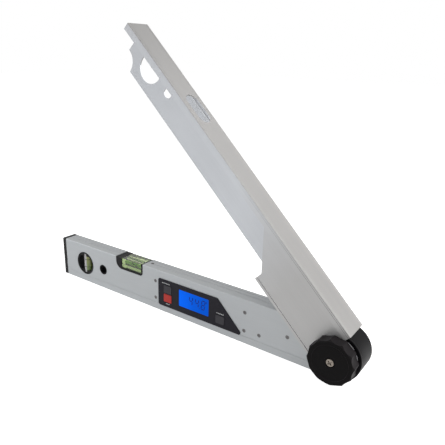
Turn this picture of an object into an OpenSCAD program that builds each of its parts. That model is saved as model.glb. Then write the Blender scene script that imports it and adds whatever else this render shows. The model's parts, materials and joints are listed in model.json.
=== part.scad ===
// Digital angle finder: a fixed box-section arm with two spirit levels and a display, and a
// channel-shaped arm that folds down over it and turns on a clamped pivot.
// The fixed arm lies along X with its measuring base on Z = 0, and its middle is the origin.
// Inside the model, u is the distance from the pivot axis towards an arm's outer end,
// and heights are taken from the pivot axis.

/* [Pose] */
// Angle between the two measuring edges, 0 when folded
open_angle = 44.8; // [0:0.2:180]

/* [Fixed arm] */
// Length from the pivot axis to the outer end
arm_len = 420; // [416:2:600]
// Height of the box section
arm_h = 55.2; // [54:0.2:70]
// Thickness of the box section
arm_t = 22; // [21:0.5:30]
// Wall of the box section
beam_wall = 1.8; // [1.4:0.1:2.2]
// Outer corner radius of the box section
beam_corner = 1.2; // [0.5:0.1:2]
// Gap from the pivot axis to the end of the box section
beam_gap = 16; // [15:0.5:18]
// Visible thickness of the end cap
cap_t = 6.5; // [4:0.5:10]
// Depth of the end cap's plug inside the box section
cap_plug = 14; // [8:1:18]

/* [Levels and hanging hole] */
// Distance from the outer end to the round plumb window
end_to_window = 46; // [40:1:52]
// Radius of the round plumb window
window_r = 16.5; // [14:0.5:18]
// Radius of the vial glass in the plumb window
plumb_r = 7; // [5:0.25:7.5]
// Distance from the outer end to the hanging hole
end_to_hang = 82.3; // [78:0.1:90]
// Radius of the hanging hole
hang_r = 5.5; // [4:0.25:6.5]
// Wall of the sleeve in the hanging hole
sleeve_t = 1.5; // [1:0.1:2.2]
// Distance from the outer end to the middle of the top level
end_to_level = 132.5; // [128:0.5:134]
// Length of the notch for the top level
level_len = 48; // [44:1:52]
// Depth of the notch for the top level
level_depth = 16.7; // [15:0.1:20]
// Radius of the vial in the top level
level_r = 4.6; // [4:0.1:5]

/* [Display] */
// Distance from the outer end to the panel
end_to_panel = 183.5; // [183:0.1:189]
// Length of the panel along its lower edge
panel_len = 126.4; // [122:0.2:128]
// Height of the panel
panel_h = 36.3; // [34:0.1:40]
// Height of the panel's lower edge above the base
panel_rise = 8.9; // [8:0.1:12]
// How far the panel stands proud of the arm
panel_proud = 0.8; // [0.4:0.1:1.2]
// Length of the display window
lens_w = 44.9; // [40:0.1:48]
// Height of the display window
lens_h = 22; // [18:0.1:24]
// Length of a button
button_w = 12; // [10:0.2:13]
// Height of a button
button_h = 10.4; // [9:0.2:11]
// How far a button travels
button_travel = 0.6; // [0.3:0.1:0.8]

/* [Moving arm] */
// How much shorter the moving arm is than the fixed arm
tip_short = 8; // [6:1:20]
// Sheet thickness of the channel
wall_t = 1.5; // [1.2:0.1:1.8]
// Gap between the folded channel's web and the top of the fixed arm
fold_gap = 0.5; // [0.3:0.1:0.8]
// Distance from the pivot axis to the near end of the web
web_u = 9.9; // [9:0.1:11]
// Overall width across the shoulders beside the web
shoulder_w = 32; // [31:0.5:36]
// Height of the shoulders, from the web's outer face down
shoulder_h = 8.3; // [6:0.1:10]
// How far the side walls are set in below the shoulders
wall_step = 1.6; // [1:0.1:1.8]
// How far the side walls stop short of the base when folded
wall_short = 1.1; // [0.6:0.1:2]
// Height of the bead along the free edges
lip_h = 3; // [2:0.1:5]
// How far the bead stands out
lip_t = 0.6; // [0.3:0.1:0.9]
// Radius of the round bite at the tip
bite_r = 17.4; // [12:0.2:20]
// Length of the slot that shows the top level when folded
slot_len = 38; // [28:1:40]
// Width of the slot
slot_w = 18; // [10:0.5:20]
// Clearance between the panel's slanted edge and the cut-away wall
cut_gap = 3.5; // [2:0.1:5]

/* [Pivot] */
// Radius of the round ears that carry the pivot bolt
ear_r = 22.5; // [20:0.5:24]
// Radius of the pivot bolt
bolt_r = 4; // [3:0.25:5]
// Outer radius of the bush that the bolt turns in
bush_r = 6.5; // [6:0.25:8]
// Radius of the bolt head
bolt_head_r = 7.5; // [6.5:0.25:9]
// Height of the bolt head
bolt_head_h = 4; // [3:0.25:5]
// Radius of the locking knob over its lobes
knob_r = 24.9; // [22:0.1:26]
// Thickness of the locking knob
knob_t = 13; // [11:0.5:16]
// Number of lobes round the knob
knob_lobes = 12; // [8:1:16]
// Depth of the hollows between the lobes, below the lobe radius
lobe_depth = 1.6; // [0.6:0.1:1.7]
// Radius of the screw head in the middle of the knob
knob_screw_r = 4.2; // [3.6:0.1:5]

/* [Fasteners and fits] */
// Head radius of the small countersunk screws
screw_head_r = 2.3; // [2:0.1:2.6]
// Shank radius of the small countersunk screws
screw_r = 1.25; // [1:0.05:1.4]
// Clearance between pieces that are fixed together
seat = 0.1; // [0.05:0.01:0.15]
// Clearance between flat faces that slide over each other
slide_gap = 0.12; // [0.08:0.01:0.2]
// Radial clearance of a bearing
run_gap = 0.05; // [0.03:0.01:0.08]

/* [Hidden] */
$fn = 64;

// Colours
satin_alloy = "#B3B7BA";
bright_alloy = "#C4C5C4";
black_plastic = "#262629";
dark_plastic = "#3A3A3D";
steel = "#B9B5A8";
brass = "#B9974A";
clear = "#CFE3D2";
fluid = "#9CCB3A";

// Heights from the pivot axis. With the arms in line, the web's outer face is level with the base.
top_z = (arm_h - fold_gap - wall_t) / 2;
base_z = top_z - arm_h;
mid_z = top_z - arm_h / 2;
pivot_x = arm_len / 2;

// Faces of the fixed arm across its thickness, the front being at negative Y
front = -arm_t / 2;
back = arm_t / 2;
in_front = front + beam_wall;
in_back = back - beam_wall;
in_top = top_z - beam_wall;
in_base = base_z + beam_wall;

// Places along the arms
window_u = arm_len - end_to_window;
hang_u = arm_len - end_to_hang;
level_u = arm_len - end_to_level;
tip_u = arm_len - tip_short;
sleeve_r = hang_r + sleeve_t;

// Level notch
level_u0 = level_u - level_len / 2;
level_u1 = level_u + level_len / 2;
level_z = top_z - level_depth;
notch_r_near = 5;
notch_r_far = 10;
level_end_t = 10.5;
level_rim_t = 3;
level_sink = 0.9;
level_side = 0.5;
level_top = top_z - level_sink;
vial_end = 2.5;
bubble_r = 2.6;
bubble_len = 11;
tab_len = 12;
tab_w = 10;
tab_t = 3;
tab_screw_u = 7.2;

// Plumb window
ring_r = window_r - seat;
ring_t = 2.8;
plumb_y = -3.5;
plumb_wall = 2.2;
socket_w = 2 * plumb_r + 4;
socket_t = 3.2;
socket_z = ring_r - ring_t - socket_t;
ring_open = ring_r - ring_t;

// Display panel
panel_far = arm_len - end_to_panel;
panel_u = panel_far - panel_len;
panel_lo = base_z + panel_rise;
panel_hi = panel_lo + panel_h;
panel_r = 2.5;
panel_inset = 2.5;
bezel_front = front - panel_proud;
left_u = panel_far - 15.4;
right_u = panel_u + 31.7;
lens_shift = 0.7;
lens_u = (left_u + right_u) / 2 - lens_shift;
lens_z = panel_lo + 19.2;
lens_t = 1;
lens_ledge = 1.2;
lens_sink = 0.15;
lcd_margin = 2;
lcd_t = 2.6;
board_t = 1.6;
board_y = in_front + lcd_t;
board_u0 = panel_u + 7;
board_u1 = panel_far - 2.5;
board_edge = 1;
chip = 9;
chip_t = 1.2;
chip_rise = 10;
upper_z = panel_lo + 24;
lower_z = panel_lo + 12.2;
right_z = panel_lo + 10;
button_gap = 0.25;
button_proud = 0.5;
flange_w = 0.9;
flange_t = 0.8;
mat_spare = 0.15;
mat_front = in_front + slide_gap + flange_t + button_travel + mat_spare;
mat_margin = 2;
button_r = 1;

// Display tray and its screws
tray_y = board_y + board_t;
tray_t = 1.8;
tray_back = tray_y + tray_t;
tray_edge = 5;
post_r = 3;
post_drop = 6.1;
post_lift = 7.3;
post_far_u = panel_far + 5.3;
post_near_u = panel_u - 0.9;
panel_screw_at = [
    [post_far_u, panel_hi - post_drop], [post_far_u, panel_lo + post_lift],
    [post_near_u, panel_hi - post_drop], [post_near_u, panel_lo + post_lift]
];
screw_len = 5.2;
head_h = 1.3;

// Battery
cell_r = 10;
cell_t = 3.2;
cell_gap = 0.3;
cell_u = lens_u + 4;
cell_back = in_back - cell_gap;
cell_front = cell_back - cell_t;
cup_wall = 1.6;
cup_floor = 1.6;
cup_r = cell_r + cell_gap + cup_wall;
boss_u = cup_r + post_r - 0.6;
cover_h = 2 * cup_r + 4;
cover_u0 = cell_u - cup_r - 3;
cover_u1 = cell_u + boss_u + post_r + 2.5;
cover_r = 3;
leg_w = 5;
contact_t = 0.25;
contact_w = 4;

// Pivot
hub_r = top_z;
hub_gap = slide_gap;
cheek_in = back + hub_gap;
wall_out = shoulder_w / 2 - wall_step;
wall_in = wall_out - wall_t;
shoulder_out = shoulder_w / 2;
shoulder_in = shoulder_out - wall_t;
tongue_end = panel_u - 13.1;
tongue_wall = 2.4;
outer_screw_u = tongue_end - 7.4;
inner_screw_u = (hub_r + tongue_end) / 2 - 6.4;
hub_screw_at = [[outer_screw_u, mid_z - 10.4], [inner_screw_u, mid_z + 0.4]];
screw_web = 6;
pocket_r = hub_r - 5.4;
pocket_in_r = bush_r + 2.5;
pocket_t = 3.5;
pocket_floor = front + pocket_t;
disc_t = 1;
disc_clear = 0.8;
sensor_t = 1.6;
ribbon_w = 4.6;
ribbon_z = mid_z + 5;
ribbon_t = 0.4;
ribbon_u0 = bush_r + 4.5;
washer_t = 0.8;
washer_out_r = 17;
thrust_t = 1;
thrust_r = 12;
cheek_screw_r = 16;
cheek_screw_a = [35, 155, 275];
cheek_screw_len = 3;
knob_clear = 0.5;
knob_back = -(shoulder_out + knob_clear);
knob_front = knob_back - knob_t;
knob_boss_back = -(wall_out + thrust_t + slide_gap);
insert_r = 7.5;
insert_len = 8.5;
dish_r = knob_r - 5.5;
dish_t = 0.5;
head_sink = 0.6;
bolt_end = knob_front + head_sink + 2;
hollow_r = knob_r - 4;
hollow_t = knob_t - 4;
core_r = insert_r + 2.5;
scallop_r = 20;
lobe_turn = 10;
rib_t = 1.8;

// Channel
web_out = top_z + fold_gap + wall_t;
web_in = top_z + fold_gap;
shoulder_z = web_out - shoulder_h;
wall_lo = base_z + wall_short;
web_corner = 1;
foot_r = 12;
toe = 2.4;
cut_n = panel_lo + toe;
cut_u = panel_u - cut_gap + toe;
web_groove = 0.3;
web_groove_w = 1.4;
web_groove_y = shoulder_in - 2.4;
slot_u = level_u + 3.5;
slot_reach = (slot_len - slot_w) / 2;

// Direction from a point, length one
function unit(v) = v / norm(v);

// An angle brought into the range -180 to 180
function turned(a) = a > 180 ? a - 360 : a < -180 ? a + 360 : a;

// Points of one rounded corner at p, between its neighbours a and b
function corner(a, p, b, r, steps = 6) =
    let (
        ua = unit(a - p),
        ub = unit(b - p),
        half = acos(ua * ub) / 2,
        c = p + unit(ua + ub) * r / sin(half),
        s = p + ua * r / tan(half) - c,
        e = p + ub * r / tan(half) - c,
        a0 = atan2(s.y, s.x),
        sweep = turned(atan2(e.y, e.x) - a0)
    )
    r == 0 ? [p] : [for (i = [0:steps]) c + r * [cos(a0 + sweep * i / steps), sin(a0 + sweep * i / steps)]];

// An outline with a radius for each of its corners
function rounded(pts, radii) =
    let (n = len(pts))
    [for (i = [0:n - 1]) each corner(pts[(i + n - 1) % n], pts[i], pts[(i + 1) % n], radii[i])];

// Corners of a rectangle
function box_pts(x0, y0, x1, y1) = [[x0, y0], [x1, y0], [x1, y1], [x0, y1]];

module at_pivot() {
    translate([pivot_x, 0, -base_z]) children();
}

module swung() {
    at_pivot() rotate([0, open_angle, 0]) children();
}

// A flat outline in (u, height) made solid between two Y planes
module across(y0, y1) {
    translate([0, y1, 0]) rotate([90, 0, 0]) linear_extrude(y1 - y0) mirror([1, 0]) children();
}

// An outline in (Y, height) made solid along the arm between two distances from the pivot
module along(u0, u1) {
    translate([-u1, 0, 0]) rotate([90, 0, 90]) linear_extrude(u1 - u0) children();
}

// A round bar across the arm
module bar(u, z, r, y0, y1, r2 = 0) {
    translate([-u, y0, z]) rotate([-90, 0, 0]) cylinder(r1 = r, r2 = r2 == 0 ? r : r2, h = y1 - y0);
}

module rounded_box(x0, y0, x1, y1, r) {
    polygon(rounded(box_pts(x0, y0, x1, y1), [r, r, r, r]));
}

// Countersunk screw with its head face at z = 0 and its shank pointing down
module screw(length, head = screw_head_r) {
    difference() {
        union() {
            translate([0, 0, -head_h]) cylinder(r1 = screw_r, r2 = head, h = head_h, $fn = 32);
            translate([0, 0, -length]) cylinder(r = screw_r, h = length - head_h, $fn = 32);
        }
        for (a = [0, 90]) rotate(a) cube([head * 1.3, 0.6, head_h], center = true);
    }
}

// Countersunk hole for that screw
module screw_hole(length, head = screw_head_r) {
    translate([0, 0, -head_h]) cylinder(r1 = screw_r + seat, r2 = head + seat, h = head_h + 0.01, $fn = 32);
    translate([0, 0, -length]) cylinder(r = screw_r + seat, h = length, $fn = 32);
}

// Places screws or holes on a face across the arm; side is -1 at the front, 1 at the back
module on_face(at, y, side) {
    for (p = at) translate([-p.x, y, p.y]) rotate([-side * 90, 0, 0]) children();
}

// ---- Fixed arm ----

module beam_section() {
    groove_z = base_z + 9;
    difference() {
        rounded_box(front, base_z, back, top_z, beam_corner);
        rounded_box(in_front, in_base, in_back, in_top, 0.6);
        for (y = [-1.6, 4.6]) translate([y, top_z - 0.35]) square([1.2, 1]);
        for (y = [front - 0.7, back - 0.3]) translate([y, groove_z]) square([1, 0.8]);
    }
}

module level_outline(gap, top) {
    polygon(rounded(
        box_pts(level_u0 + gap, level_z + gap, level_u1 - gap, top),
        [notch_r_near, notch_r_far, 0, 0]
    ));
}

module panel_outline(inset, r) {
    slant = inset / tan(22.5);
    polygon(rounded(
        [
            [panel_u + slant, panel_lo + inset], [panel_far - inset, panel_lo + inset],
            [panel_far - inset, panel_hi - inset],
            [panel_u + panel_h + inset * tan(22.5), panel_hi - inset]
        ],
        [r, r, r, r]
    ));
}

module fixed_beam() color(satin_alloy) at_pivot() {
    difference() {
        along(beam_gap, arm_len - cap_t) beam_section();
        bar(0, 0, hub_r + seat, front - 1, back + 1, 0, $fn = 96);
        bar(window_u, mid_z, window_r, front - 1, back + 1);
        bar(hang_u, mid_z, sleeve_r + seat, front - 1, back + 1);
        across(front - 1, back + 1) level_outline(0, top_z + 1);
        across(front - 1, in_front + 0.5) panel_outline(panel_inset, panel_r);
        across(in_back - 0.5, back + 1) rounded_box(
            cover_u0, mid_z - cover_h / 2, cover_u1, mid_z + cover_h / 2, cover_r);
        on_face(panel_screw_at, front, -1) screw_hole(screw_len);
        on_face(hub_screw_at, front, -1) screw_hole(screw_len);
        translate([tab_screw_u - level_u0, 0, top_z]) screw_hole(screw_len);
    }
}

module end_cap() color(black_plastic) at_pivot() {
    plug_end = arm_len - cap_t - cap_plug;
    plug_wall = 2;
    along(arm_len - cap_t, arm_len) rounded_box(front, base_z, back, top_z, beam_corner);
    along(plug_end, arm_len - cap_t) difference() {
        rounded_box(in_front + seat, in_base + seat, in_back - seat, in_top - seat, 0.6);
        rounded_box(in_front + plug_wall, in_base + plug_wall, in_back - plug_wall, in_top - plug_wall, 1);
    }
}

// Black ring in the plumb window, with a socket at its top and foot for the upright vial
module plumb_ring() color(black_plastic) at_pivot() difference() {
    bar(window_u, mid_z, ring_r, front, back);
    difference() {
        bar(window_u, mid_z, ring_open, front - 1, back + 1);
        for (s = [-1, 1]) {
            translate([-window_u, 0, mid_z + s * (socket_z + ring_r) / 2])
                cube([socket_w, arm_t, ring_r - socket_z], center = true);
        }
    }
    for (y = [front, back]) bar(window_u, mid_z, ring_open + 1, y - 0.6, y + 0.6);
    translate([-window_u, plumb_y, mid_z - ring_open]) cylinder(r = plumb_r + seat, h = 2 * ring_open);
}

module plumb_vial() color(clear) at_pivot() translate([-window_u, plumb_y, mid_z]) {
    half = ring_open - seat;
    difference() {
        translate([0, 0, -half]) cylinder(r = plumb_r, h = 2 * half);
        translate([0, 0, -half + 1]) cylinder(r = plumb_r - plumb_wall, h = 2 * half - 2);
    }
}

module bubble(r, length) {
    rotate_extrude() intersection() {
        union() {
            for (y = [-1, 1]) translate([0, y * (length / 2 - r)]) circle(r);
            translate([0, r - length / 2]) square([r, length - 2 * r]);
        }
        translate([0, -length / 2]) square([r, length]);
    }
}

module plumb_fluid() color(fluid) at_pivot() translate([-window_u, plumb_y, mid_z]) {
    half = ring_open - seat - 1.1;
    fluid_r = plumb_r - plumb_wall - seat;
    difference() {
        translate([0, 0, -half]) cylinder(r = fluid_r, h = 2 * half);
        translate([0, 0, 1]) bubble(fluid_r - 0.8, bubble_len - 2);
    }
}

module hang_sleeve() color(black_plastic) at_pivot() difference() {
    bar(hang_u, mid_z, sleeve_r, front, back);
    bar(hang_u, mid_z, hang_r, front - 1, back + 1);
}

// Black cradle of the top level: thick outer end, thin floor and rim, and a tab under the top wall
module level_holder() color(black_plastic) at_pivot() {
    near = level_u0 + level_rim_t;
    far = level_u1 - level_end_t;
    difference() {
        union() {
            across(front, back) level_outline(seat, level_top);
            across(-tab_w / 2, tab_w / 2) polygon(box_pts(
                level_u0 - tab_len, in_top - seat - tab_t, level_u0 + 1, in_top - seat));
        }
        across(front - 1, back + 1) polygon(rounded(
            box_pts(near, level_z + level_rim_t, far, top_z + 1), [1.5, 1.5, 0, 0]));
        translate([tab_screw_u - level_u0, 0, top_z]) screw_hole(screw_len);
    }
}

module level_block() color(clear) at_pivot() {
    near = level_u0 + level_rim_t + seat;
    far = level_u1 - level_end_t - seat;
    vial_z = (level_z + level_rim_t + level_top) / 2;
    difference() {
        across(front + level_side, back - level_side) polygon(rounded(
            box_pts(near, level_z + level_rim_t + seat, far, level_top), [1.5, 1.5, 0.5, 0.5]));
        translate([-far + vial_end, 0, vial_z]) rotate([0, 90, 0])
            cylinder(r = level_r, h = far - near - 2 * vial_end);
    }
}

module level_fluid() color(fluid) at_pivot() {
    near = level_u0 + level_rim_t + seat;
    far = level_u1 - level_end_t - seat;
    vial_z = (level_z + level_rim_t + level_top) / 2;
    middle = (near + far) / 2;
    difference() {
        translate([-far + vial_end + seat, 0, vial_z]) rotate([0, 90, 0])
            cylinder(r = level_r - seat, h = far - near - 2 * (vial_end + seat));
        translate([-middle, 0, vial_z + level_r - bubble_r - 0.5]) rotate([0, 90, 0])
            bubble(bubble_r, bubble_len);
    }
}

module level_screw() color(dark_plastic) at_pivot() {
    translate([tab_screw_u - level_u0, 0, top_z]) screw(screw_len);
}

// ---- Display ----

module lens_outline(margin, r) {
    rounded_box(
        lens_u - lens_w / 2 - margin, lens_z - lens_h / 2 - margin,
        lens_u + lens_w / 2 + margin, lens_z + lens_h / 2 + margin, r);
}

module button_outline(u, z, margin, r) {
    rounded_box(
        u - button_w / 2 - margin, z - button_h / 2 - margin,
        u + button_w / 2 + margin, z + button_h / 2 + margin, r);
}

module display_bezel() color(black_plastic) at_pivot() difference() {
    union() {
        across(bezel_front, front) panel_outline(0, panel_r);
        across(front, in_front) panel_outline(panel_inset + seat, panel_r);
    }
    across(bezel_front - 1, bezel_front + lens_sink + lens_t) lens_outline(0, 1);
    across(bezel_front, in_front + 1) lens_outline(-lens_ledge, 0.5);
    for (p = [[left_u, upper_z], [left_u, lower_z], [right_u, right_z]]) {
        across(bezel_front - 1, in_front + 1) button_outline(p.x, p.y, button_gap, button_r);
    }
}

module display_lens() color("#1E62D6") at_pivot() {
    across(bezel_front + lens_sink, bezel_front + lens_sink + lens_t) lens_outline(-seat, 1);
}

module lcd_module() color("#2C5FB8") at_pivot() {
    across(in_front, board_y) lens_outline(lcd_margin, 0.6);
}

module circuit_board() color("#1F6B3C") at_pivot() {
    plug_front = pocket_floor + ribbon_t;
    across(board_y, board_y + board_t) rounded_box(
        board_u0, panel_lo + board_edge, board_u1, panel_hi - board_edge, 1);
    across(board_y - chip_t, board_y) rounded_box(
        right_u - chip / 2, right_z + chip_rise, right_u + chip / 2, right_z + chip_rise + chip, 0.5);
    if (plug_front < board_y) {
        across(plug_front, board_y) rounded_box(
            board_u0 + 1, ribbon_z - ribbon_w / 2 - 0.8, board_u0 + 6, ribbon_z + ribbon_w / 2 + 0.8, 0.3);
    }
}

module keypad_mat() color("#6A6A6E") at_pivot() {
    across(mat_front, board_y) {
        rounded_box(
            left_u - button_w / 2 - mat_margin, lower_z - button_h / 2 - 1,
            left_u + button_w / 2 + mat_margin, upper_z + button_h / 2 + 1, 1);
        button_outline(right_u, right_z, 1, 1);
    }
}

// Moulded carrier behind the board, pulled against the inside of the front wall by four screws
module display_tray() color(dark_plastic) at_pivot() difference() {
    union() {
        across(tray_y, tray_back) difference() {
            rounded_box(
                post_near_u - post_r - 1, panel_lo - 1, post_far_u + post_r + 1, panel_hi + 1, 2);
            for (u = [post_near_u + 16, post_far_u - 22]) {
                rounded_box(u - 6, mid_z - tray_edge, u + 6, mid_z + tray_edge, 2);
            }
        }
        for (p = panel_screw_at) bar(p.x, p.y, post_r, in_front, tray_y);
    }
    on_face(panel_screw_at, front, -1) screw_hole(screw_len);
}

module panel_screws() color(dark_plastic) at_pivot() {
    on_face(panel_screw_at, front, -1) screw(screw_len);
}

// A button: its cap stands out of the bezel and a flange behind keeps it in
module button(u, z) {
    foot = in_front + slide_gap;
    across(bezel_front - button_proud, foot) button_outline(u, z, 0, button_r);
    across(foot, foot + flange_t) rounded_box(
        u - button_w / 2 - flange_w, z - button_h / 2, u + button_w / 2 + flange_w, z + button_h / 2, button_r);
}

module power_button() color("#C23A30") at_pivot() button(left_u, lower_z);

module hold_button() color("#4A4A4E") at_pivot() button(left_u, upper_z);

module light_button() color("#4A4A4E") at_pivot() button(right_u, right_z);

// ---- Battery ----

module battery_holder() color(dark_plastic) at_pivot() difference() {
    floor_y = cell_front - cup_floor;
    union() {
        bar(cell_u, mid_z, cup_r, floor_y, cell_back);
        bar(cell_u + boss_u, mid_z, post_r, tray_back, in_back);
        for (s = [-1, 1]) {
            across(tray_back, floor_y) rounded_box(
                cell_u + s * 8 - leg_w / 2, mid_z - 7, cell_u + s * 8 + leg_w / 2, mid_z + 7, 1);
        }
    }
    bar(cell_u, mid_z, cell_r + cell_gap, cell_front, in_back + 1);
    on_face([[cell_u + boss_u, mid_z]], back, 1) screw_hole(screw_len);
}

module coin_cell() color(steel) at_pivot() {
    step = 0.6;
    bar(cell_u, mid_z, cell_r - 0.8, cell_front, cell_front + step);
    bar(cell_u, mid_z, cell_r, cell_front + step, cell_back);
}

module battery_contact() color(brass) at_pivot() {
    across(cell_back, cell_back + contact_t) rounded_box(
        cell_u - cup_r + 0.4, mid_z - contact_w / 2, cell_u + 2, mid_z + contact_w / 2, 1);
}

module battery_cover() color(satin_alloy) at_pivot() difference() {
    across(in_back, back) rounded_box(
        cover_u0 + seat, mid_z - cover_h / 2 + seat, cover_u1 - seat, mid_z + cover_h / 2 - seat, cover_r);
    on_face([[cell_u + boss_u, mid_z]], back, 1) screw_hole(screw_len);
}

module cover_screw() color(dark_plastic) at_pivot() {
    on_face([[cell_u + boss_u, mid_z]], back, 1) screw(screw_len);
}

// ---- Hub at the pivot end of the fixed arm ----

module hub() color(black_plastic) at_pivot() {
    tongue_y = in_back - seat;
    difference() {
        union() {
            bar(0, 0, hub_r, front, back, 0, $fn = 96);
            across(front, back) polygon(box_pts(0, 0, beam_gap, top_z));
            along(0, tongue_end) rounded_box(-tongue_y, in_base + seat, tongue_y, in_top - seat, 0.8);
        }
        // the tongue is held back inside the round end
        across(front - 1, back + 1) difference() {
            polygon(box_pts(-1, base_z - 1, beam_gap, 0));
            circle(hub_r, $fn = 96);
        }
        bar(0, 0, bush_r, front - 1, back + 1);
        difference() {
            bar(0, 0, pocket_r, front - 1, pocket_floor);
            bar(0, 0, pocket_in_r, front - 2, pocket_floor + 1);
        }
        bar(0, 0, washer_out_r + seat, back - washer_t, back + 1);
        // hollow behind the screw wall, open to the inside of the beam
        for (span = [
            [hub_r + 3, inner_screw_u - screw_web], [inner_screw_u + screw_web, tongue_end + 1]
        ]) {
            if (span[1] > span[0] + 2) {
                across(in_front + 3, tongue_y + 1) rounded_box(
                    span[0], in_base + tongue_wall, span[1], in_top - tongue_wall, 1);
            }
        }
        across(pocket_floor - 0.01, pocket_floor + 1) polygon(box_pts(
            ribbon_u0 - 1, ribbon_z - ribbon_w / 2 - 0.4, tongue_end + 1, ribbon_z + ribbon_w / 2 + 0.4));
        on_face(hub_screw_at, front, -1) screw_hole(screw_len);
    }
}

module hub_bush() color(brass) at_pivot() difference() {
    bar(0, 0, bush_r, front, back);
    bar(0, 0, bolt_r + run_gap, front - 1, back + 1);
}

module hub_screws() color(dark_plastic) at_pivot() {
    on_face(hub_screw_at, front, -1) screw(screw_len);
}

module friction_washer() color("#8A5A3C") at_pivot() difference() {
    bar(0, 0, washer_out_r, back - washer_t, back);
    bar(0, 0, bush_r + seat, back - washer_t - 1, back + 1);
}

module sensor_board() color("#1F6B3C") at_pivot() difference() {
    bar(0, 0, pocket_r - seat, pocket_floor - sensor_t, pocket_floor);
    bar(0, 0, pocket_in_r + seat, front - 1, back);
}

module sensor_ribbon() color("#D8D2BE") at_pivot() {
    across(pocket_floor, pocket_floor + ribbon_t) rounded_box(
        ribbon_u0, ribbon_z - ribbon_w / 2, board_u0 + 5, ribbon_z + ribbon_w / 2, 0.5);
}

// ---- Moving arm ----

// Half of the channel's section, from the free edge of one wall round to the web
function half_section() = [
    [wall_in, wall_lo], [wall_out + lip_t, wall_lo],
    [wall_out + lip_t, wall_lo + lip_h], [wall_out, wall_lo + lip_h + lip_t],
    [wall_out, shoulder_z], [shoulder_out, shoulder_z],
    each corner([shoulder_out, 0], [shoulder_out, web_out], [0, web_out], web_corner),
    [web_groove_y + web_groove_w, web_out], [web_groove_y + web_groove_w / 2, web_out - web_groove],
    [web_groove_y, web_out]
];

function inner_half() = [
    [shoulder_in, web_in], [shoulder_in, shoulder_z + wall_t],
    [wall_in, shoulder_z + wall_t]
];

module channel_section() {
    right = half_section();
    left = [for (i = [len(right) - 1:-1:0]) [-right[i].x, right[i].y]];
    inner = inner_half();
    inner_left = [for (i = [len(inner) - 1:-1:0]) [-inner[i].x, inner[i].y]];
    polygon(concat(right, left, inner_left, inner));
}

// Outline of a side wall's round end about the pivot
module ear_outline(gap) {
    circle(ear_r + gap, $fn = 96);
}

module channel_arm() color(bright_alloy) swung() {
    difference() {
        union() {
            difference() {
                along(web_u, tip_u) channel_section();
                across(-shoulder_out - 1, shoulder_out + 1) difference() {
                    polygon(box_pts(web_u - 1, wall_lo - 1, web_u + foot_r, wall_lo + foot_r));
                    translate([web_u + foot_r, wall_lo + foot_r]) circle(foot_r);
                }
            }
            for (y = [-wall_out, wall_in]) across(y, y + wall_t) ear_outline(0);
        }
        // the front wall is cut away round the display, leaving the shoulder
        across(-shoulder_out - 1, -wall_in + 0.5) polygon([
            [cut_u, wall_lo - 1], [cut_u, cut_n], [cut_u + shoulder_z - cut_n, shoulder_z],
            [tip_u + 1, shoulder_z], [tip_u + 1, wall_lo - 1]
        ]);
        bar(window_u, mid_z, window_r, wall_in - 1, shoulder_out);
        bar(hang_u, mid_z, hang_r, wall_in - 1, shoulder_out);
        bar(tip_u, wall_lo, bite_r, wall_in - 1, shoulder_out + 1);
        for (s = [-1, 1]) {
            translate([s * slot_reach - slot_u, 0, web_in - 1]) cylinder(r = slot_w / 2, h = wall_t + 2);
        }
        translate([-slot_u - slot_reach, -slot_w / 2, web_in - 1])
            cube([2 * slot_reach, slot_w, wall_t + 2]);
        bar(0, 0, bolt_r + seat, -shoulder_out, shoulder_out);
        for (side = [-1, 1]) on_face(cheek_screw_at(), side * wall_out, side) screw_hole(cheek_screw_len);
    }
}

function cheek_screw_at() = [
    for (a = cheek_screw_a) cheek_screw_r * [cos(a), sin(a)]
];

// Black bearing plate between an ear and the hub; its rim closes the round end flush with the wall
module cheek(side) {
    y0 = side > 0 ? cheek_in : -wall_out;
    y1 = side > 0 ? wall_out : -cheek_in;
    difference() {
        bar(0, 0, hub_r, y0, y1, 0, $fn = 96);
        across(side > 0 ? wall_in : -wall_out - 1, side > 0 ? wall_out + 1 : -wall_in) {
            ear_outline(seat);
            polygon(box_pts(web_u - seat, -hub_r - 1, hub_r + 1, hub_r + 1));
        }
        bar(0, 0, bolt_r + seat, y0 - 1, y1 + 1);
        on_face(cheek_screw_at(), side * wall_out, side) screw_hole(cheek_screw_len);
    }
}

module front_cheek() color(black_plastic) swung() cheek(-1);

module rear_cheek() color(black_plastic) swung() cheek(1);

module cheek_screws() color(steel) swung() {
    for (side = [-1, 1]) on_face(cheek_screw_at(), side * wall_out, side) screw(cheek_screw_len);
}

// Coded ring that turns with the moving arm in front of the sensor board
module encoder_disc() color("#D9B24C") swung() difference() {
    bar(0, 0, pocket_r - disc_clear, -cheek_in, disc_t - cheek_in);
    bar(0, 0, pocket_in_r + disc_clear, front - 2, back);
    for (i = [0:23]) rotate([0, i * 15, 0]) translate([pocket_r - disc_clear - 4, 0, 0])
        cube([3, arm_t * 2, 1], center = true);
}

module pivot_bolt() color(steel) swung() {
    head_y = wall_out + thrust_t;
    difference() {
        union() {
            bar(0, 0, bolt_r, bolt_end, head_y + 1);
            translate([0, head_y, 0]) rotate([-90, 0, 0]) rotate_extrude() polygon(concat(
                [[0, 0], [bolt_head_r, 0]],
                corner([bolt_head_r, 0], [bolt_head_r, bolt_head_h], [0, bolt_head_h], 2),
                [[0, bolt_head_h]]
            ));
        }
        translate([0, head_y + bolt_head_h - 2, 0]) rotate([-90, 0, 0])
            cylinder(r = bolt_r * 0.72, h = 3, $fn = 6);
        bar(0, 0, screw_r + 0.4, bolt_end - 1, bolt_end + 8);
    }
}

module bolt_washer() color(steel) swung() difference() {
    bar(0, 0, bolt_head_r + 1.5, wall_out, wall_out + thrust_t);
    bar(0, 0, bolt_r + seat, wall_out - 1, wall_out + thrust_t + 1);
}

module thrust_washer() color(steel) swung() difference() {
    bar(0, 0, thrust_r, -wall_out - thrust_t, -wall_out);
    bar(0, 0, bolt_r + seat, -wall_out - thrust_t - 1, -wall_out + 1);
}

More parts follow.
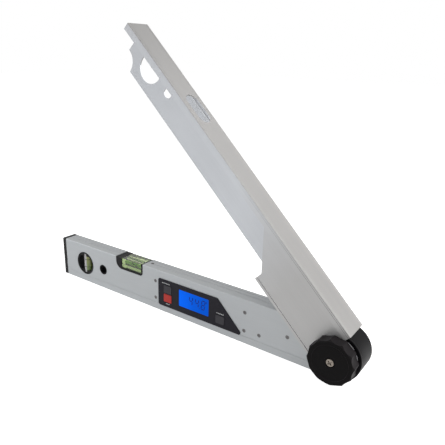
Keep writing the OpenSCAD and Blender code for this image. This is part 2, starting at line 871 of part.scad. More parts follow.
// Screw in the bolt's end that keeps the knob on
module knob_screw() color("#D8C9A0") swung() difference() {
    head_t = bolt_end - knob_front - head_sink;
    union() {
        translate([0, bolt_end, 0]) rotate([90, 0, 0]) rotate_extrude() polygon(concat(
            [[0, 0], [knob_screw_r, 0]],
            corner([knob_screw_r, 0], [knob_screw_r, head_t], [0, head_t], 0.8),
            [[0, head_t]]
        ));
        bar(0, 0, screw_r + 0.4 - run_gap, bolt_end, bolt_end + 7);
    }
    for (a = [0, 90]) rotate([0, a, 0]) translate([0, knob_front + head_sink, 0])
        cube([knob_screw_r * 1.3, 3, 1.3], center = true);
}

// ---- Locking knob ----

module knob_blank() {
    bevel = 1;
    rim = knob_r + 1;
    rotate([90, 0, 0]) translate([0, 0, -knob_back]) rotate_extrude($fn = 96) polygon([
        [0, 0], [knob_r - bevel, 0], [rim, bevel + rim - knob_r],
        [rim, knob_t - bevel * 1.5 - rim + knob_r], [knob_r - bevel * 1.5, knob_t],
        [dish_r, knob_t], [dish_r - dish_t, knob_t - dish_t], [0, knob_t - dish_t]
    ]);
}

// Outline of the knob: a disc with shallow hollows between its lobes
module lobed_outline() {
    difference() {
        circle(knob_r, $fn = 96);
        for (i = [0:knob_lobes - 1]) rotate(lobe_turn + (i + 0.5) * 360 / knob_lobes)
            translate([knob_r - lobe_depth + scallop_r, 0]) circle(scallop_r, $fn = 96);
    }
}

module lock_knob() color(black_plastic) swung() difference() {
    union() {
        difference() {
            intersection() {
                across(knob_front, knob_back) lobed_outline();
                knob_blank();
            }
            difference() {
                bar(0, 0, hollow_r, knob_back - hollow_t, knob_back + 1);
                bar(0, 0, core_r, knob_back - hollow_t - 1, knob_back + 2);
            }
        }
        for (i = [0:5]) rotate([0, i * 60, 0])
            translate([(core_r + hollow_r) / 2, knob_back - hollow_t / 2 - 0.5, 0])
                cube([hollow_r - core_r + 1, hollow_t, rib_t], center = true);
        bar(0, 0, core_r - 1, knob_back - 1, knob_boss_back);
    }
    bar(0, 0, insert_r + seat, knob_boss_back - insert_len, knob_boss_back + 1);
    bar(0, 0, bolt_r + run_gap * 4, knob_front - 1, knob_boss_back);
    bar(0, 0, knob_screw_r + 1, knob_front - 1, bolt_end + slide_gap);
}

module knob_insert() color(brass) swung() difference() {
    bar(0, 0, insert_r, knob_boss_back - insert_len + seat, knob_boss_back);
    bar(0, 0, bolt_r + run_gap, knob_front, knob_boss_back + 1);
}

fixed_beam();
end_cap();
plumb_ring();
plumb_vial();
plumb_fluid();
hang_sleeve();
level_holder();
level_block();
level_fluid();
level_screw();
display_bezel();
display_lens();
lcd_module();
circuit_board();
keypad_mat();
display_tray();
panel_screws();
power_button();
hold_button();
light_button();
battery_holder();
coin_cell();
battery_contact();
battery_cover();
cover_screw();
hub();
hub_bush();
hub_screws();
friction_washer();
sensor_board();
sensor_ribbon();
channel_arm();
front_cheek();
rear_cheek();
cheek_screws();
encoder_disc();
pivot_bolt();
bolt_washer();
thrust_washer();
knob_screw();
lock_knob();
knob_insert();
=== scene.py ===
"""Angle finder with arms: finishes, vials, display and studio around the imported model.

The fixed arm lies along X with its measuring base on Z = 0, and the display side faces -Y.
Everything is in metres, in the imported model's own frame.
"""

import json
import math

import bmesh
import bpy
from mathutils import Matrix, Vector


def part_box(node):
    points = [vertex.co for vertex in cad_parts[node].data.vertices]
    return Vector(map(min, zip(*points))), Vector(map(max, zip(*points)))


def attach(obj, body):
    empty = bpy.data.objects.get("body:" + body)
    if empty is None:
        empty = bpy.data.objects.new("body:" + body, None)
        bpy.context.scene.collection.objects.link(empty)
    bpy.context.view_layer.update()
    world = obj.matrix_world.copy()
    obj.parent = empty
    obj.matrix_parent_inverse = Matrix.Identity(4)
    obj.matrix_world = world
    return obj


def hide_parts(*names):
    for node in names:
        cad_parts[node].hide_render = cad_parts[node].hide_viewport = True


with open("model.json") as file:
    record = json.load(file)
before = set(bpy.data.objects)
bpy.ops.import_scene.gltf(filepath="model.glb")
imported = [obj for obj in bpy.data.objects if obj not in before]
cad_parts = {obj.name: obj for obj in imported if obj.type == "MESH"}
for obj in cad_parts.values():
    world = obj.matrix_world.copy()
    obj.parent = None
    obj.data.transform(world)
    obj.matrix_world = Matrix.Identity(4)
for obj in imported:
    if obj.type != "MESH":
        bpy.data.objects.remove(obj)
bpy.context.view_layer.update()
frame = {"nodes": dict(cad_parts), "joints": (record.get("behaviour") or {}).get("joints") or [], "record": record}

MM = 0.001
QUARTER_TURN = math.pi / 2
# The arms' hinge: its axis lies along Y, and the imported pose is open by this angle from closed
HINGE = next(joint for joint in frame["joints"] if joint["name"] == "arm_hinge")
PIVOT = Vector(HINGE["pos_m"])
OPEN_ANGLE = -math.radians(HINGE["range_deg"][0])
# What the display says: the angle of the photographed pose
READING = "44.8"

# The bodies, of which each push button is one, with the same name as its node
FIXED, MOVING, KNOB = "fixed_arm", "moving_arm", "lock_knob"
BUTTONS = ("power_button", "hold_button", "light_button")


# ---------------------------------------------------------------- node helpers

FLOAT, COLOR, VECTOR = "NodeSocketFloat", "NodeSocketColor", "NodeSocketVector"


def put(tree, kind, values=None, **settings):
    """Adds a node, sets its properties, and sets or links the named or numbered inputs."""
    made = tree.nodes.new(kind)
    for name, value in settings.items():
        setattr(made, name, value)
    for key, value in (values or {}).items():
        socket = made.inputs[key]
        if isinstance(value, bpy.types.NodeSocket):
            tree.links.new(value, socket)
        else:
            socket.default_value = value
    return made


def add_inputs(tree, rows):
    """Gives a node tree its inputs, from rows of a name, a socket type and a default."""
    for label, kind, value in rows:
        socket = tree.interface.new_socket(label, in_out="INPUT", socket_type=kind)
        if value is not None:
            socket.default_value = value


def tree_ends(tree):
    """What a tree is given and what it puts out, as sockets for its nodes."""
    return tree.nodes.new("NodeGroupInput").outputs, tree.nodes.new("NodeGroupOutput").inputs


def maths(tree, operation, *values, clamp=False):
    """The result of an operation on values or sockets, given in the order of its inputs."""
    made = put(tree, "ShaderNodeMath", dict(enumerate(values)), operation=operation, use_clamp=clamp)
    return made.outputs[0]


def scaled(tree, vector, factor):
    """A vector or colour times a factor."""
    made = put(tree, "ShaderNodeVectorMath", {0: vector, "Scale": factor}, operation="SCALE")
    return made.outputs[0]


def dot(tree, first, second):
    """How far two directions agree: one where they are the same."""
    made = put(tree, "ShaderNodeVectorMath", {0: first, 1: second}, operation="DOT_PRODUCT")
    return made.outputs["Value"]


def parts(tree, vector):
    """A vector's X, Y and Z."""
    return put(tree, "ShaderNodeSeparateXYZ", {0: vector}).outputs


def ramp(tree, value, start, end, low=0.0, high=1.0):
    """Goes from low to high as value goes from start to end, and stays level beyond them."""
    return put(tree, "ShaderNodeMapRange", {
        "Value": value, "From Min": start, "From Max": end, "To Min": low, "To Max": high}).outputs[0]


def noise(tree, vector, scale, detail=2.0, roughness=0.5, distortion=0.0):
    """Soft random values between zero and one."""
    return put(tree, "ShaderNodeTexNoise", {
        "Vector": vector, "Scale": scale, "Detail": detail, "Roughness": roughness,
        "Distortion": distortion}).outputs["Fac"]


def colour(value):
    """What a colour input takes, from three numbers or from another node's output."""
    return value if isinstance(value, bpy.types.NodeSocket) else (*value, 1.0)


def blend(tree, amount, first, second):
    """A colour that goes from first to second as amount goes from zero to one."""
    made = put(tree, "ShaderNodeMix", {0: amount, 6: colour(first), 7: colour(second)}, data_type="RGBA")
    return made.outputs[2]


def place_on(tree):
    """Where a point of the surface is, in the piece's own frame."""
    return put(tree, "ShaderNodeTexCoord").outputs["Object"]


def facing(tree):
    """Which way the surface looks, in the piece's own frame."""
    return put(tree, "ShaderNodeTexCoord").outputs["Normal"]


# ---------------------------------------------------------------- shared effects

# The middle of a noise texture's values
NOISE_MEAN = 0.5


def shader_group(name, inputs, outputs):
    """An empty shader node group: the tree, its inputs and its outputs."""
    tree = bpy.data.node_groups.new(name, "ShaderNodeTree")
    add_inputs(tree, inputs)
    for label, kind in outputs:
        tree.interface.new_socket(label, in_out="OUTPUT", socket_type=kind)
    return tree, *tree_ends(tree)


def grain_group(name, scale_row, contrast, roughness):
    """An empty group for a grain, with the inputs and outputs that every grain has."""
    return shader_group(
        name,
        [("Vector", VECTOR, None), ("Base", COLOR, (0.5, 0.5, 0.5, 1)), scale_row,
         ("Contrast", FLOAT, contrast), ("Roughness", FLOAT, roughness)],
        [("Color", COLOR), ("Roughness", FLOAT), ("Height", FLOAT)],
    )


def put_out_grain(tree, given, out, pattern, height, dulling):
    """Varies the given base colour and roughness by a pattern that is centred on zero."""
    gain = maths(tree, "MULTIPLY_ADD", pattern, given["Contrast"], 1.0)
    rough = maths(tree, "MULTIPLY_ADD", pattern, dulling, given["Roughness"], clamp=True)
    tree.links.new(scaled(tree, given["Base"], gain), out["Color"])
    tree.links.new(rough, out["Roughness"])
    tree.links.new(height, out["Height"])


def drawn_grain_group():
    """Fine lines along the first axis of the given vector, as on drawn and anodised alloy."""
    stretch, band_scale, cloud_scale, dulling = (0.03, 1.0, 1.0), 90.0, 14.0, 0.12
    tree, given, out = grain_group("drawn_grain", ("Line Pitch", FLOAT, 900.0), 0.1, 0.4)
    stretched = put(
        tree, "ShaderNodeVectorMath", {0: given["Vector"], 1: stretch}, operation="MULTIPLY").outputs[0]
    lines = noise(tree, stretched, given["Line Pitch"], detail=3.0, roughness=0.6)
    bands = noise(tree, stretched, band_scale)
    clouds = noise(tree, given["Vector"], cloud_scale, detail=3.0)
    mixed = maths(tree, "ADD", maths(tree, "ADD", lines, bands), clouds)
    put_out_grain(tree, given, out, maths(tree, "SUBTRACT", mixed, 3 * NOISE_MEAN), lines, dulling)
    return tree


def moulded_grain_group():
    """Spark-eroded grain of moulded plastic, with faint handling marks in the gloss."""
    mark_scale, dulling = 45.0, 0.25
    tree, given, out = grain_group("moulded_grain", ("Grain Scale", FLOAT, 2600.0), 0.25, 0.45)
    grain = noise(tree, given["Vector"], given["Grain Scale"])
    marks = noise(tree, given["Vector"], mark_scale, detail=4.0, distortion=0.6)
    mixed = maths(tree, "ADD", grain, marks)
    put_out_grain(tree, given, out, maths(tree, "SUBTRACT", mixed, 2 * NOISE_MEAN), grain, dulling)
    return tree


def edge_highlight_group():
    """Lightens a colour along a piece's edges: a painted highlight."""
    flat, sharp = 0.98, 0.8
    tree, given, out = shader_group(
        "edge_highlight",
        [("Color", COLOR, (0.5, 0.5, 0.5, 1)), ("Highlight Color", COLOR, (0.8, 0.8, 0.8, 1)),
         ("Width", FLOAT, 0.4 * MM), ("Amount", FLOAT, 0.4)],
        [("Color", COLOR)],
    )
    rounded = put(tree, "ShaderNodeBevel", {"Radius": given["Width"]}, samples=4).outputs[0]
    surface = put(tree, "ShaderNodeNewGeometry").outputs["Normal"]
    edge = ramp(tree, dot(tree, rounded, surface), flat, sharp)
    amount = maths(tree, "MULTIPLY", edge, given["Amount"])
    tree.links.new(blend(tree, amount, given["Color"], given["Highlight Color"]), out["Color"])
    return tree


DRAWN_GRAIN = drawn_grain_group()
MOULDED_GRAIN = moulded_grain_group()
EDGE_HIGHLIGHT = edge_highlight_group()


# ---------------------------------------------------------------- kinds of finish

# How much lighter than its base a metal edge's painted highlight is, and how much of that shows
METAL_HIGHLIGHT_GAIN, METAL_HIGHLIGHT = 1.35, 0.35
# The same for plastic, whose painted edge highlight is also lifted a little
PLASTIC_HIGHLIGHT_GAIN, PLASTIC_HIGHLIGHT_LIFT, PLASTIC_HIGHLIGHT = 2.0, 0.01, 0.3
# Strength and depth of each grain's relief
METAL_RELIEF = (0.12, 0.04 * MM)
PLASTIC_RELIEF = (0.2, 0.05 * MM)
# Polish of clear pieces: the roughness, its least and greatest share of it, and how fine its streaks are
CLEAR_ROUGHNESS, CLEAR_STREAK_SPAN, CLEAR_STREAK_SCALE = 0.03, (0.4, 1.6), 220.0


def material(name):
    """A fresh material: returns it, its tree and its surface shader."""
    made = bpy.data.materials.new(name)
    made.use_nodes = True
    return made, made.node_tree, made.node_tree.nodes["Principled BSDF"]


def lay_grain(tree, shader, group, values, highlight_tint, edge, relief):
    """Feeds a grain to the surface shader, with a painted highlight along the edges and its relief as a bump."""
    strength, depth = relief
    grain = put(tree, "ShaderNodeGroup", values, node_tree=group).outputs
    shine = put(tree, "ShaderNodeGroup", {
        "Color": grain["Color"], "Highlight Color": colour(highlight_tint), "Amount": edge}, node_tree=EDGE_HIGHLIGHT)
    bump = put(tree, "ShaderNodeBump", {"Height": grain["Height"], "Strength": strength, "Distance": depth})
    tree.links.new(shine.outputs[0], shader.inputs["Base Color"])
    tree.links.new(grain["Roughness"], shader.inputs["Roughness"])
    tree.links.new(bump.outputs[0], shader.inputs["Normal"])


def metal(name, base, roughness=0.45, contrast=0.1, metallic=0.32, turn=0.0, shade=None):
    """Alloy or steel with its grain along an arm that lies turned about the pivot by turn."""
    made, tree, shader = material(name)
    along = put(tree, "ShaderNodeMapping", {
        "Vector": place_on(tree), "Location": PIVOT, "Rotation": (0, turn, 0)},
        vector_type="TEXTURE").outputs[0]
    face = base
    if shade:
        face, glow = shade(tree, along, base)
        tree.links.new(glow, shader.inputs["Emission Color"])
        shader.inputs["Emission Strength"].default_value = 1.0
    # The painted highlight along the metal's edges
    edge_highlight_tint = [min(1.0, channel * METAL_HIGHLIGHT_GAIN) for channel in base]
    lay_grain(tree, shader, DRAWN_GRAIN, {
        "Vector": along, "Base": colour(face), "Contrast": contrast, "Roughness": roughness},
        edge_highlight_tint, METAL_HIGHLIGHT, METAL_RELIEF)
    shader.inputs["Metallic"].default_value = metallic
    return made


def moulding(name, base, roughness=0.5, contrast=0.25, coat=0.0, gloss=0.2, shade=None):
    """Moulded plastic or rubber with a fine grain."""
    made, tree, shader = material(name)
    face = shade(tree, base) if shade else base
    # The painted highlight along the plastic's edges
    edge_highlight_tint = [min(1.0, channel * PLASTIC_HIGHLIGHT_GAIN + PLASTIC_HIGHLIGHT_LIFT) for channel in base]
    lay_grain(tree, shader, MOULDED_GRAIN, {
        "Vector": place_on(tree), "Base": colour(face), "Contrast": contrast, "Roughness": roughness},
        edge_highlight_tint, PLASTIC_HIGHLIGHT, PLASTIC_RELIEF)
    shader.inputs["Coat Weight"].default_value = coat
    shader.inputs["Specular IOR Level"].default_value = gloss
    return made


def clear_plastic(name, tint, ior=1.49, clear=1.0, shade=None):
    """Clear moulded acrylic, vial glass or fluid, faintly streaked, and milky where clear is under 1."""
    made, tree, shader = material(name)
    least, most = CLEAR_STREAK_SPAN
    streaks = noise(tree, place_on(tree), CLEAR_STREAK_SCALE)
    rough = ramp(tree, streaks, 0.0, 1.0, CLEAR_ROUGHNESS * least, CLEAR_ROUGHNESS * most)
    tree.links.new(rough, shader.inputs["Roughness"])
    if shade:
        tree.links.new(shade(tree, tint), shader.inputs["Base Color"])
    else:
        shader.inputs["Base Color"].default_value = colour(tint)
    shader.inputs["Transmission Weight"].default_value = clear
    shader.inputs["IOR"].default_value = ior
    return made


# ---------------------------------------------------------------- the channel arm's finish, painted light and shade

# The channel lying flat: its length from the pivot, and the height of the web's outer face over the pivot
CHANNEL_LONG = 412 * MM
WEB_HIGH = 28.6 * MM
# How squarely a face looks up to count as level, and how far under the web it is then a ledge
LEVEL_FROM, LEDGE_DROP = 0.5, 4 * MM
# Distances from the channel's middle, each short of the face that it tells from the rest:
# the walls' inner faces, their outer faces, the ledges outside them, and the shoulders
INNER_REACH, WALL_REACH, STEP_REACH, SHOULDER_REACH = 6.45 * MM, 14.0 * MM, 14.45 * MM, 15.6 * MM
# Fine dark lines along the shoulders, drawn lines with painted shade that grows towards the pivot: their heights,
# their width, their colour, and their strength
SHOULDER_LINES = (27.2 * MM, 25.4 * MM)
LINE_WIDE = 0.35 * MM
LINE_AND_SHADE_TINT = (0.06, 0.055, 0.055)
LINE_AND_SHADE_STRENGTH = (0.12, 0.92)
# Stretches of the arm over which the painted light and shade and the lines' strength change, as shares of its
# length from the pivot
LINE_STRETCH, FLANK_SHEEN_STRETCH = (0.5, 0.06), (0.2, 0.5)
INNER_SHADE_STRETCH, TIP_SHADE_STRETCH = (1.0, 0.45), (1.0, 0.72)
# Painted light and shade: pale inner faces, darker at the tip end, near-white inner ledges, and shadow on the
# outer steps
INNER_PAINTED_LIGHT, INNER_TIP_PAINTED_SHADE = (0.59, 0.605, 0.63), (0.37, 0.37, 0.38)
LEDGE_PAINTED_LIGHT, STEP_PAINTED_SHADOW = (0.95, 0.96, 0.98), (0.22, 0.21, 0.21)
# Painted shade: what is left of the outer faces' colour at the tip
TIP_PAINTED_SHADE = 0.82
# Stands in for the light that is scattered onto the inner ledges inside the channel
LEDGE_GLOW = (0.33, 0.335, 0.35)


def channel_shade(tree, place, base):
    """The channel's colour and glow: painted light and shade on pale inner faces, ledges and flanks, darker tips
    and shadowed steps, and drawn shoulder lines darkened by painted shade.
    """
    spot = parts(tree, place)
    looks = facing(tree)
    out = maths(tree, "ABSOLUTE", spot["Y"])

    def along(stretch, low=0.0, high=1.0):
        """Goes from low to high over a stretch of the arm."""
        start, end = stretch
        return ramp(tree, spot["X"], -start * CHANNEL_LONG, -end * CHANNEL_LONG, low, high)

    # The ledges, which look away from the pivot and lie under the web, and the steps among them: painted light
    # lifts the inner ledges' shade, and the steps get a painted shadow
    upward = dot(tree, looks, (math.sin(OPEN_ANGLE), 0, math.cos(OPEN_ANGLE)))
    level = maths(tree, "GREATER_THAN", upward, LEVEL_FROM)
    below = maths(tree, "LESS_THAN", spot["Z"], WEB_HIGH - LEDGE_DROP)
    ledge = maths(tree, "MULTIPLY", level, below)
    stepped = maths(tree, "GREATER_THAN", out, STEP_REACH)
    ledges = blend(tree, stepped, LEDGE_PAINTED_LIGHT, STEP_PAINTED_SHADOW)

    # The inner faces, which look at the channel's middle, and the flanks, which grow as pale midway: both pale as
    # painted light, with painted shade towards the tip
    inward = maths(tree, "MULTIPLY", spot["Y"], parts(tree, looks)["Y"])
    inside = maths(tree, "LESS_THAN", inward, -INNER_REACH)
    # Painted sheen: the flanks painted pale midway and beyond
    flank = maths(tree, "SUBTRACT", maths(tree, "GREATER_THAN", out, WALL_REACH), level, clamp=True)
    pale = maths(tree, "MAXIMUM", inside, maths(tree, "MULTIPLY", flank, along(FLANK_SHEEN_STRETCH)))
    # Painted light: the inner faces pale to lift their shade, with painted shade towards the tip
    inner = blend(tree, along(INNER_SHADE_STRETCH), INNER_TIP_PAINTED_SHADE, INNER_PAINTED_LIGHT)
    # Painted shade: the outer faces darker towards the tip
    outer = scaled(tree, base, along(TIP_SHADE_STRETCH, TIP_PAINTED_SHADE, 1.0))
    plain = blend(tree, ledge, blend(tree, pale, outer, inner), ledges)

    # The shoulders' lines: drawn lines, made stronger towards the pivot by painted shade
    first, second = (maths(tree, "COMPARE", spot["Z"], height, LINE_WIDE / 2) for height in SHOULDER_LINES)
    shoulder = maths(tree, "GREATER_THAN", out, SHOULDER_REACH)
    drawn = maths(tree, "MULTIPLY", maths(tree, "MAXIMUM", first, second), shoulder)
    lined = maths(tree, "MULTIPLY", drawn, along(LINE_STRETCH, *LINE_AND_SHADE_STRENGTH))

    hidden = maths(tree, "SUBTRACT", ledge, stepped, clamp=True)
    return blend(tree, lined, plain, LINE_AND_SHADE_TINT), scaled(tree, LEDGE_GLOW, hidden)


# ---------------------------------------------------------------- finishes that change over one piece, mostly painted light

# How squarely a face has to look along an axis: from where it starts to count to where it counts in full
SQUARE_ON = (0.5, 0.9)

# Painted light: the knob's sheen on its gripped side, the level block's lit top, and the upright vial's reflection
# band; and the vial's colour at its low end
KNOB_SIDE_SHEEN = (0.021, 0.019, 0.0205)
BLOCK_TOP_LIGHT = (0.78, 0.82, 0.48)
VIAL_REFLECTION_TINT = (0.62, 0.60, 0.60)
VIAL_LOW_TINT = (0.20, 0.36, 0.09)
# Where the upright vial's painted reflection, a pale band, starts to fade and where it has gone, as shares of the
# vial's width
VIAL_REFLECTION_FADE = (0.55, 0.68)

# The lit display: its colours from the bright end to the dim one, and its colour when unlit
DISPLAY_BRIGHT, DISPLAY_DIM = (0.001, 0.135, 0.95), (0.001, 0.085, 0.6)
DISPLAY_UNLIT = (0.0, 0.004, 0.02)
# How far along its width it starts to dim, and how fine and how strong its uneven patches are
DISPLAY_DIM_FROM, DISPLAY_PATCH_SCALE, DISPLAY_PATCHES = 0.2, 60.0, 0.5
DISPLAY_ROUGHNESS, DISPLAY_GLOSS = 0.25, 0.02


def knob_shade(tree, base):
    """The knob's colour with a painted sheen: the gripped side is painted greyer than the front and back faces."""
    along = maths(tree, "ABSOLUTE", parts(tree, facing(tree))["Y"])
    return blend(tree, ramp(tree, along, *SQUARE_ON), KNOB_SIDE_SHEEN, base)


def block_shade(tree, tint):
    """The level block's tint with painted light: lighter on the face that looks up."""
    return blend(tree, ramp(tree, parts(tree, facing(tree))["Z"], *SQUARE_ON), tint, BLOCK_TOP_LIGHT)


def upright_vial_reflection(tree, tint):
    """The upright vial's tint: a painted reflection as a pale band along its outer side, on its front half, and a
    green that deepens downwards.
    """
    low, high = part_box("plumb_vial")
    start, gone = (low.x + share * (high.x - low.x) for share in VIAL_REFLECTION_FADE)
    place = parts(tree, place_on(tree))
    behind = maths(tree, "GREATER_THAN", place["Y"], (low.y + high.y) / 2)
    past_reflection = maths(tree, "MAXIMUM", ramp(tree, place["X"], start, gone), behind)
    green = blend(tree, ramp(tree, place["Z"], low.z, high.z), VIAL_LOW_TINT, tint)
    return blend(tree, past_reflection, VIAL_REFLECTION_TINT, green)


def lit_display(name):
    """Backlit blue glass, brighter towards its outer end."""
    made, tree, shader = material(name)
    low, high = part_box("display_lens")
    across = ramp(tree, parts(tree, place_on(tree))["X"], low.x, high.x)
    patches = noise(tree, place_on(tree), DISPLAY_PATCH_SCALE, detail=1.0)
    level = maths(tree, "MULTIPLY_ADD", patches, DISPLAY_PATCHES, across)
    dimming = ramp(tree, level, DISPLAY_DIM_FROM, 1.0)
    tree.links.new(blend(tree, dimming, DISPLAY_BRIGHT, DISPLAY_DIM), shader.inputs["Emission Color"])
    shader.inputs["Emission Strength"].default_value = 1.0
    shader.inputs["Base Color"].default_value = colour(DISPLAY_UNLIT)
    shader.inputs["Roughness"].default_value = DISPLAY_ROUGHNESS
    shader.inputs["Specular IOR Level"].default_value = DISPLAY_GLOSS
    return made


# ---------------------------------------------------------------- this object's finishes

# Each table gives a finish's colour and what else sets it apart from a plain one of its kind
METALS = {
    "satin_alloy": dict(base=(0.42, 0.435, 0.445)),
    "arm_alloy": dict(base=(0.435, 0.43, 0.425), turn=OPEN_ANGLE, shade=channel_shade),
    "dark_screws": dict(base=(0.15, 0.145, 0.145), roughness=0.35, contrast=0.3, metallic=0.8),
    "bright_steel": dict(base=(0.55, 0.54, 0.52), roughness=0.28, metallic=1.0),
    "knob_screw_steel": dict(base=(0.20, 0.175, 0.15), roughness=0.35, contrast=0.3, metallic=0.8),
    "brass_parts": dict(base=(0.72, 0.55, 0.24), roughness=0.3, metallic=1.0),
}
MOULDINGS = {
    "black_moulding": dict(base=(0.007, 0.0065, 0.007), gloss=0.12),
    "panel_moulding": dict(base=(0.011, 0.010, 0.0145), gloss=0.12),
    "hub_moulding": dict(base=(0.005, 0.0048, 0.0056), roughness=0.45, gloss=0.08),
    "knob_moulding": dict(base=(0.0065, 0.006, 0.0062), roughness=0.42, gloss=0.04, shade=knob_shade),
    "inner_moulding": dict(base=(0.05, 0.05, 0.055), roughness=0.55),
    "red_button": dict(base=(0.55, 0.04, 0.03), roughness=0.4, contrast=0.12),
    "grey_button": dict(base=(0.04, 0.038, 0.044)),
    "key_rubber": dict(base=(0.2, 0.2, 0.21), roughness=0.7),
    "board": dict(base=(0.03, 0.2, 0.08), roughness=0.35, coat=0.3),
    "fibre": dict(base=(0.25, 0.13, 0.07), roughness=0.8, contrast=0.5),
    "ribbon": dict(base=(0.7, 0.66, 0.55), roughness=0.4),
    "mark_white": dict(base=(0.62, 0.63, 0.62), contrast=0.05),
    "segment_ink": dict(base=(0.001, 0.01, 0.16), roughness=0.3, contrast=0.1, gloss=0.1),
    "vial_line": dict(base=(0.012, 0.012, 0.012)),
    "display_glass": dict(base=(0.02, 0.03, 0.06), roughness=0.2),
}
CLEAR_PLASTICS = {
    "vial_clear": dict(tint=(0.24, 0.33, 0.13), shade=block_shade),
    "vial_fluid": dict(tint=(0.74, 1.0, 0.5), ior=1.33),
    "plumb_glass": dict(tint=(0.50, 0.50, 0.14), clear=0.3, shade=upright_vial_reflection),
    "plumb_fluid": dict(tint=(0.38, 0.46, 0.15), ior=1.33, clear=0.4),
}
MATERIALS = {
    **{name: metal(name, **look) for name, look in METALS.items()},
    **{name: moulding(name, **look) for name, look in MOULDINGS.items()},
    **{name: clear_plastic(name, **look) for name, look in CLEAR_PLASTICS.items()},
    "display_window": lit_display("display_window"),
}

# Nodes whose finish isn't their record slot's
OWN_FINISH = {"hub": "hub_moulding", "front_cheek": "hub_moulding", "rear_cheek": "hub_moulding",
              "lock_knob": "knob_moulding", "display_bezel": "panel_moulding",
              "plumb_vial": "plumb_glass", "plumb_fluid": "plumb_fluid"}
SLOTS = {row["node"]: row["material_slot"] for row in frame["record"]["subparts"]}


def finish_of(node):
    """The material of a CAD node and of what stands in for it."""
    return MATERIALS[OWN_FINISH.get(node, SLOTS[node])]


def dress_nodes():
    """Gives every CAD node its material."""
    for name, node in frame["nodes"].items():
        node.data.materials.clear()
        node.data.materials.append(finish_of(name))


# ---------------------------------------------------------------- softened pieces

# Points of a CAD mesh that are nearer to each other than this are one point
WELD = 0.002 * MM
# Faces that meet at less than this are one flat face, and edges sharper than the second are rounded
FLAT_ANGLE, SHARP_ANGLE = math.radians(0.6), math.radians(28)
# How far large faces outweigh the rounds in the smooth shading: the most there is
FLAT_FACE_WEIGHT = 100

# Each softened piece, the body it rides on, and its edges' round
ROUNDED = (
    ("fixed_beam", FIXED, 0.15 * MM),
    ("end_cap", FIXED, 0.5 * MM),
    ("hub", FIXED, 0.3 * MM),
    ("hang_sleeve", FIXED, 0.3 * MM),
    ("plumb_ring", FIXED, 0.25 * MM),
    ("level_holder", FIXED, 0.25 * MM),
    ("level_block", FIXED, 0.3 * MM),
    ("display_bezel", FIXED, 0.25 * MM),
    ("channel_arm", MOVING, 0.2 * MM),
    ("front_cheek", MOVING, 0.25 * MM),
    ("rear_cheek", MOVING, 0.25 * MM),
    ("pivot_bolt", MOVING, 0.25 * MM),
    ("knob_screw", MOVING, 0.15 * MM),
    ("lock_knob", KNOB, 0.35 * MM),
)
BUTTON_ROUND = 0.5 * MM


def add_object(name, data):
    """A new object in the scene, at the origin."""
    made = bpy.data.objects.new(name, data)
    bpy.context.scene.collection.objects.link(made)
    return made


def baked(source, name):
    """A plain mesh object from a source with live modifiers, which is then removed."""
    bpy.context.view_layer.update()
    graph = bpy.context.evaluated_depsgraph_get()
    mesh = bpy.data.meshes.new_from_object(source.evaluated_get(graph))
    mesh.name = name
    bpy.data.objects.remove(source)
    return add_object(name, mesh)


def welded_copy(node):
    """A copy of a CAD node's mesh with its points merged and its flat faces made whole."""
    mesh = frame["nodes"][node].data.copy()
    shape = bmesh.new()
    shape.from_mesh(mesh)
    bmesh.ops.remove_doubles(shape, verts=shape.verts, dist=WELD)
    bmesh.ops.dissolve_degenerate(shape, edges=shape.edges, dist=WELD)
    bmesh.ops.dissolve_limit(
        shape, angle_limit=FLAT_ANGLE, verts=shape.verts, edges=shape.edges, use_dissolve_boundaries=False)
    shape.to_mesh(mesh)
    shape.free()
    mesh.shade_smooth()
    return mesh


def soften(node, body, width, segments=2):
    """A copy of a CAD node with its edges broken by a small round, standing in for the node."""
    rough = add_object(node + "_blank", welded_copy(node))
    bevel = rough.modifiers.new("edge_round", "BEVEL")
    bevel.width = width
    bevel.segments = segments
    bevel.limit_method = "ANGLE"
    bevel.angle_limit = SHARP_ANGLE
    even = rough.modifiers.new("flat_faces", "WEIGHTED_NORMAL")
    even.weight = FLAT_FACE_WEIGHT
    piece = baked(rough, node + "_finished")
    piece.data.materials.clear()
    piece.data.materials.append(finish_of(node))
    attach(piece, body)
    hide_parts(node)


# ---------------------------------------------------------------- repeated small parts

# How many facets a reading line has round the vial, and round its own wire
RING_FACETS, WIRE_FACETS = 48, 8
# A hexagon's corner radius where its width across two flats is one
HEXAGON_RADIUS = 0.577


def geometry_group(name, inputs):
    """An empty geometry tree for copies of one material: the tree, its inputs and its outputs."""
    tree = bpy.data.node_groups.new(name, "GeometryNodeTree")
    add_inputs(tree, [
        ("Geometry", "NodeSocketGeometry", None), *inputs, ("Material", "NodeSocketMaterial", None)])
    tree.interface.new_socket("Geometry", in_out="OUTPUT", socket_type="NodeSocketGeometry")
    return tree, *tree_ends(tree)


def put_out_copies(tree, given, out, copies):
    """Makes instances real, gives them the chosen material, and puts them out."""
    real = put(tree, "GeometryNodeRealizeInstances", {0: copies.outputs[0]})
    done = put(tree, "GeometryNodeSetMaterial", {
        "Geometry": real.outputs[0], "Material": given["Material"]})
    tree.links.new(done.outputs[0], out[0])


